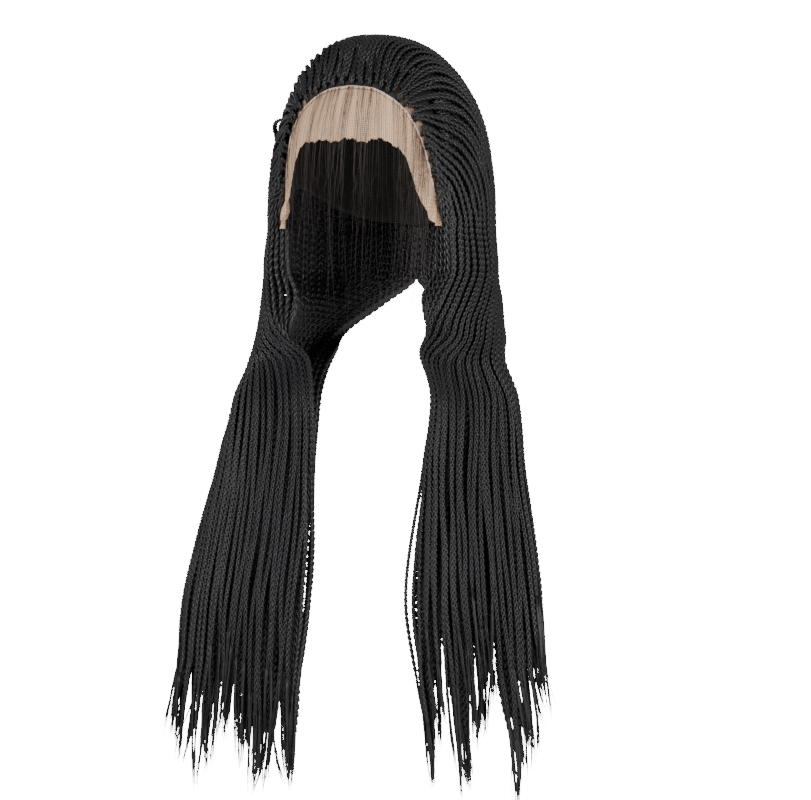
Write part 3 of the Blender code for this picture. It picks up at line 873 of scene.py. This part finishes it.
def clump_tips(side, rng):
    """Points in which the loose ends of neighbouring braids draw together."""
    tips = []
    for number, rise in enumerate(TIP_RISES):
        share = (number + rng.uniform(0.3, 0.7)) / len(TIP_RISES)
        height = HAIR_END + TIP_UNEVENNESS[side] * rise + rng.uniform(0.0, 0.008)
        outer = at_share(OUTER, np.full(len(RUNS), share))
        inner = at_share(INNER, np.full(len(RUNS), share))
        points = flare(outer + (inner - outer) * 0.3)
        place = [np.interp(-height, -points[-60:, 2], points[-60:, k]) for k in range(3)]
        tips.append(np.array(place) + rng.normal(0.0, 0.003, 3) * np.array([1.0, 1.0, 0.0]))
    return tips


def clump_tip(rng, tips, place):
    """Tip of the clump that a braid belongs to."""
    number = int(place * len(tips) + rng.uniform(-0.35, 0.35))
    return tips[min(max(number, 0), len(tips) - 1)]


def root_setbacks(rng):
    """Distance of each braid's root behind the hairline: a front row, and rows behind it."""
    setbacks = []
    row = 0
    last = -1
    for number in range(BRAIDS_PER_SIDE):
        place = (number + 0.5) / BRAIDS_PER_SIDE
        patch = int(place ** ROOT_GATHER * FRONT_ROOTS_PER_SIDE)
        row = 0 if patch != last or number == BRAIDS_PER_SIDE - 1 else row + 1
        last = patch
        setback = 0.0 if row == 0 else ROW_SETBACKS[(row - 1) % 4]
        if place ** ROOT_GATHER < WEDGE_END:
            setback = setback * WEDGE_SETBACK
        setbacks.append(setback * rng.uniform(0.85, 1.15))
    return setbacks


def wedge_share(place, run):
    """Share of a braid that is drawn together with its neighbours into a wedge at its root."""
    at_line = place ** ROOT_GATHER
    middle = (math.floor(at_line * WEDGES_PER_SIDE) + 0.5) / WEDGES_PER_SIDE
    pull = 0.5 * (1.0 - ease((at_line - WEDGE_END + 0.1) / 0.2))
    towards = middle ** (1.0 / ROOT_GATHER) - place
    return towards * pull * (1.0 - ease(run / WEDGE_LENGTH))


def lay_braid(bundle, rng, tips, place, path, first, period):
    """Plait along a path of points, outward directions and thicknesses, with its loose end."""
    tip = clump_tip(rng, tips, place)
    last = tip[2] + rng.uniform(*LOOSE_LENGTH)
    keep = (path_run(path[0]) >= first) & (path[0][:, 2] >= last)
    points, outward, thickness = [values[keep] for values in path]
    tone = float(rng.integers(0, BRAID_TONES))
    phase = rng.integers(0, 6)
    add_plait(bundle, points, outward, period, phase, tone, thickness)
    tangent, sideways, upwards = path_frame(points[-3:], outward[-3:])
    add_loose_end(bundle, rng, points[-1], tangent[-1], sideways[-1], upwards[-1], tip, tone)


def spacing(share):
    """Distance between neighbouring braids at one share for each station."""
    low = np.clip(share - SPACING_STEP, 0.0, 1.0)
    high = np.clip(share + SPACING_STEP, 0.0, 1.0)
    span = at_share(OUTER, high) - at_share(OUTER, low)
    return np.linalg.norm(span, axis=1) / (high - low) / BRAIDS_PER_SIDE


def add_braids(side, seed):
    """All braids of one side, as one piece for each bundle."""
    rng = np.random.default_rng(seed)
    bundles = [Bundle() for _ in range(BUNDLES_PER_SIDE)]
    inner_lengths = np.linalg.norm(np.diff(INNER, axis=1), axis=2).sum(axis=1)
    inner_crowding = (INNER_ROOM - inner_lengths / INNER_PER_SIDE) / INNER_CROWDED_BY
    inner_crowding = np.clip(inner_crowding, 0.0, 1.0)
    tips = clump_tips(side, rng)
    setbacks = root_setbacks(rng)
    for number in range(BRAIDS_PER_SIDE):
        place = (number + 0.5) / BRAIDS_PER_SIDE
        sway = wander(rng, RUNS, *OUTER_SWAY)
        share = place + (sway + rng.normal(0.0, SWAY_OFFSET)) / ROW_LENGTHS
        share = share + wedge_share(place, RUNS)
        outer = at_share(OUTER, share)
        inner = at_share(INNER, share)
        outward = unit(outer - inner)
        room = spacing(share)
        thickness = np.clip(room / PLAIT_WIDTH, 1.0, WIDEST_PLAIT)
        crowding = np.clip((PLAIT_WIDTH - room) / CROWDED_BY, 0.0, MOST_CROWDED)
        depth = BRAID_DEPTH + RECESS * (number % 2) * crowding * ease(RUNS / RECESS_RUN)
        depth = depth + np.abs(wander(rng, RUNS, *UNEVEN_DEPTH))
        depth = np.minimum(depth, np.linalg.norm(outer - inner, axis=1))
        if (side, number) == STRAY_BRAID:
            lifted = np.clip((RUNS - STRAY_RUN[0]) / (STRAY_RUN[1] - STRAY_RUN[0]), 0.0, 1.0)
            depth = depth - STRAY_LIFT * np.sin(math.pi * lifted) ** 2
        points = flare(outer - outward * depth[:, None])
        slack = LOOSE_BRAIDS.get(number, 0.0) * rng.uniform(0.8, 1.2)
        points[:, 0] -= slack * ease((SLACK_STARTS - points[:, 2]) / SLACK_GROWS) * (
            1.0 - ease((SLACK_ENDS - points[:, 2]) / SLACK_FADES)
        )
        run = path_run(points)
        setback = setbacks[number]
        sink = 1.0 - ease((run - setback) / (ROOT_RISE[0] + ROOT_RISE[1] * setback))
        root_level = inner + outward * ROOT_LEVEL
        points = points + (root_level - points) * sink[:, None]
        path = (points, outward, thickness)
        bundle = bundles[int(place * BUNDLES_PER_SIDE)]
        lay_braid(bundle, rng, tips, place, path, setback, PLAIT_PERIOD)
    inner_layer = [((number + 0.5) / INNER_PER_SIDE, None) for number in range(INNER_PER_SIDE)]
    for number, (place, between) in enumerate(inner_layer + list(EDGE_BRAIDS)):
        sway = wander(rng, RUNS, *INNER_SWAY)
        share = place + sway / ROW_LENGTHS
        outer = at_share(OUTER, share)
        inner = at_share(INNER, share)
        outward = unit(outer - inner)
        if between is None:
            lift = INNER_LIFT + INNER_ROW_STEP * (number % 3) * inner_crowding
            points = inner + outward * (lift * ease((RUNS - INNER_START) / INNER_RISE))[:, None]
            start = int(np.argmax(RUNS > INNER_START))
        else:
            points = inner + (outer - inner) * between
            start = int(np.argmax(points[:, 2] < EDGE_START))
        points = flare(points)
        thickness = np.full(len(points) - start, INNER_THICKNESS)
        path = (points[start:], -outward[start:], thickness)
        bundle = bundles[int(place * BUNDLES_PER_SIDE)]
        lay_braid(bundle, rng, tips, place, path, 0.0, INNER_PERIOD)
    items = []
    for number, bundle in enumerate(bundles):
        item = bundle.finish(f"braids_{side}_{number + 1}", side == "right")
        items.append(item)
        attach(item, "root")
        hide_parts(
            f"crown_lock_{side}_{number + 1}", f"fall_lock_{side}_{number + 1}"
        )
    return items


braids = add_braids("left", 11) + add_braids("right", 24)


def strand_group():
    """Group of fine fibres that run along a strand: height of the fibres and tone of a braid."""
    group = bpy.data.node_groups.new("hair_fibres", "ShaderNodeTree")
    group.interface.new_socket("Place", in_out="INPUT", socket_type="NodeSocketVector")
    group.interface.new_socket("Fibres", in_out="OUTPUT", socket_type="NodeSocketFloat")
    group.interface.new_socket("Tone", in_out="OUTPUT", socket_type="NodeSocketFloat")
    nodes = group.nodes
    start = nodes.new("NodeGroupInput")
    end = nodes.new("NodeGroupOutput")
    stretch = nodes.new("ShaderNodeMapping")
    stretch.inputs["Scale"].default_value = (34.0, 90.0, 1.0)
    fibres = nodes.new("ShaderNodeTexNoise")
    fibres.inputs["Scale"].default_value = 1.0
    fibres.inputs["Detail"].default_value = 2.0
    broad = nodes.new("ShaderNodeMapping")
    broad.inputs["Scale"].default_value = (1.0, 9.0, 1.0)
    tone = nodes.new("ShaderNodeTexNoise")
    tone.inputs["Scale"].default_value = 1.7
    tone.inputs["Detail"].default_value = 1.0
    group.links.new(start.outputs["Place"], stretch.inputs["Vector"])
    group.links.new(stretch.outputs["Vector"], fibres.inputs["Vector"])
    group.links.new(fibres.outputs["Fac"], end.inputs["Fibres"])
    group.links.new(start.outputs["Place"], broad.inputs["Vector"])
    group.links.new(broad.outputs["Vector"], tone.inputs["Vector"])
    group.links.new(tone.outputs["Fac"], end.inputs["Tone"])
    return group


hair_fibres = strand_group()
braid_finish = bpy.data.materials.new("black_braid_finish")
braid_finish.use_nodes = True
nodes = braid_finish.node_tree.nodes
links = braid_finish.node_tree.links
shader = nodes["Principled BSDF"]
shader.inputs["Roughness"].default_value = 0.40
shader.inputs["Specular IOR Level"].default_value = 0.45
strand_map = nodes.new("ShaderNodeUVMap")
strand_map.uv_map = "strand"
fibres = nodes.new("ShaderNodeGroup")
fibres.node_tree = hair_fibres
colour = nodes.new("ShaderNodeMix")
colour.data_type = "RGBA"
colour.inputs["A"].default_value = (0.0040, 0.0038, 0.0048, 1.0)
colour.inputs["B"].default_value = (0.0115, 0.0108, 0.0135, 1.0)
bump = nodes.new("ShaderNodeBump")
bump.inputs["Strength"].default_value = 0.35
bump.inputs["Distance"].default_value = 0.0003
links.new(strand_map.outputs["UV"], fibres.inputs["Place"])
links.new(fibres.outputs["Tone"], colour.inputs["Factor"])
links.new(colour.outputs["Result"], shader.inputs["Base Color"])
links.new(fibres.outputs["Fibres"], bump.inputs["Height"])
links.new(bump.outputs["Normal"], shader.inputs["Normal"])
for item in braids:
    item.data.materials.append(braid_finish)


# Baby hair: fine loose strands knotted along the hairline and left out of the braids. They fall
# over the lace and hang free in front of the face opening.

BABY_HAIRS = 105
SIDE_HAIRS = 22
BABY_RADIUS = (0.00010, 0.00021)
BABY_END = (-0.235, -0.090)
SIDE_END = -0.235
BABY_TURNS = (-45.0, 47.0)
SIDE_TURN = (41.0, 2.5)
LEAVES_LACE = (-6.0, 2.0)
OVER_LACE = 0.0022
SHORTEST_DROP = 0.015
BABY_BOW = 0.0025
SIDE_BOW = 0.004
BABY_RINGS = 9

rng = np.random.default_rng(5)
baby_hair = Bundle()
for number in range(BABY_HAIRS + SIDE_HAIRS):
    at_side = number >= BABY_HAIRS
    turn = rng.normal(*SIDE_TURN) if at_side else rng.uniform(*BABY_TURNS)
    steps = np.linspace(0.0, 1.0, BABY_RINGS)
    top = float(cap_edge(np.array([abs(turn)]))[0])
    low = min(top - 4.0, rng.uniform(*LEAVES_LACE))
    drift = rng.normal(0.0, 2.5)
    over = cap_points(turn + drift * steps, top + (low - top) * steps, OVER_LACE)
    over = over + np.array([0.0, -0.0020, 0.0]) * steps[:, None]
    end = SIDE_END if at_side else rng.uniform(*BABY_END)
    end = min(end, over[-1, 2] - SHORTEST_DROP)
    hang = np.linspace(0.0, 1.0, BABY_RINGS)[1:, None]
    drop = np.array([rng.normal(0.0, 0.004), rng.normal(-0.002, 0.002), end - over[-1, 2]])
    if at_side:
        drop = drop + np.array([rng.normal(-0.004, 0.005), 0.0, rng.normal(0.0, 0.015)])
    free = over[-1] + drop * hang
    bow = rng.normal(0.0, SIDE_BOW if at_side else BABY_BOW)
    free[:, 0] += bow * np.sin(hang[:, 0] * rng.uniform(2.5, 5.0))
    centres = np.concatenate([over, free])
    sideways = np.repeat(np.array([[1.0, 0.0, 0.0]]), len(centres), axis=0)
    tangent = unit(np.gradient(centres, axis=0))
    sideways = unit(sideways - tangent * (sideways * tangent).sum(axis=1, keepdims=True))
    taper = np.linspace(1.0, 0.35, len(centres))
    radius = rng.uniform(*BABY_RADIUS) * (1.25 if at_side else 1.0)
    baby_hair.add_tube(
        centres, sideways, np.cross(sideways, tangent), radius * taper,
        float(number % BRAID_TONES),
    )
baby_strands = baby_hair.finish("baby_hair", False)
baby_finish = bpy.data.materials.new("baby_hair_finish")
baby_finish.use_nodes = True
nodes = baby_finish.node_tree.nodes
links = baby_finish.node_tree.links
shader = nodes["Principled BSDF"]
shader.inputs["Roughness"].default_value = 0.45
strand_map = nodes.new("ShaderNodeUVMap")
strand_map.uv_map = "strand"
fibres = nodes.new("ShaderNodeGroup")
fibres.node_tree = hair_fibres
colour = nodes.new("ShaderNodeMix")
colour.data_type = "RGBA"
colour.inputs["A"].default_value = (0.006, 0.004, 0.004, 1.0)
colour.inputs["B"].default_value = (0.034, 0.019, 0.014, 1.0)
links.new(strand_map.outputs["UV"], fibres.inputs["Place"])
links.new(fibres.outputs["Tone"], colour.inputs["Factor"])
links.new(colour.outputs["Result"], shader.inputs["Base Color"])
baby_strands.data.materials.append(baby_finish)
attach(baby_strands, "root")
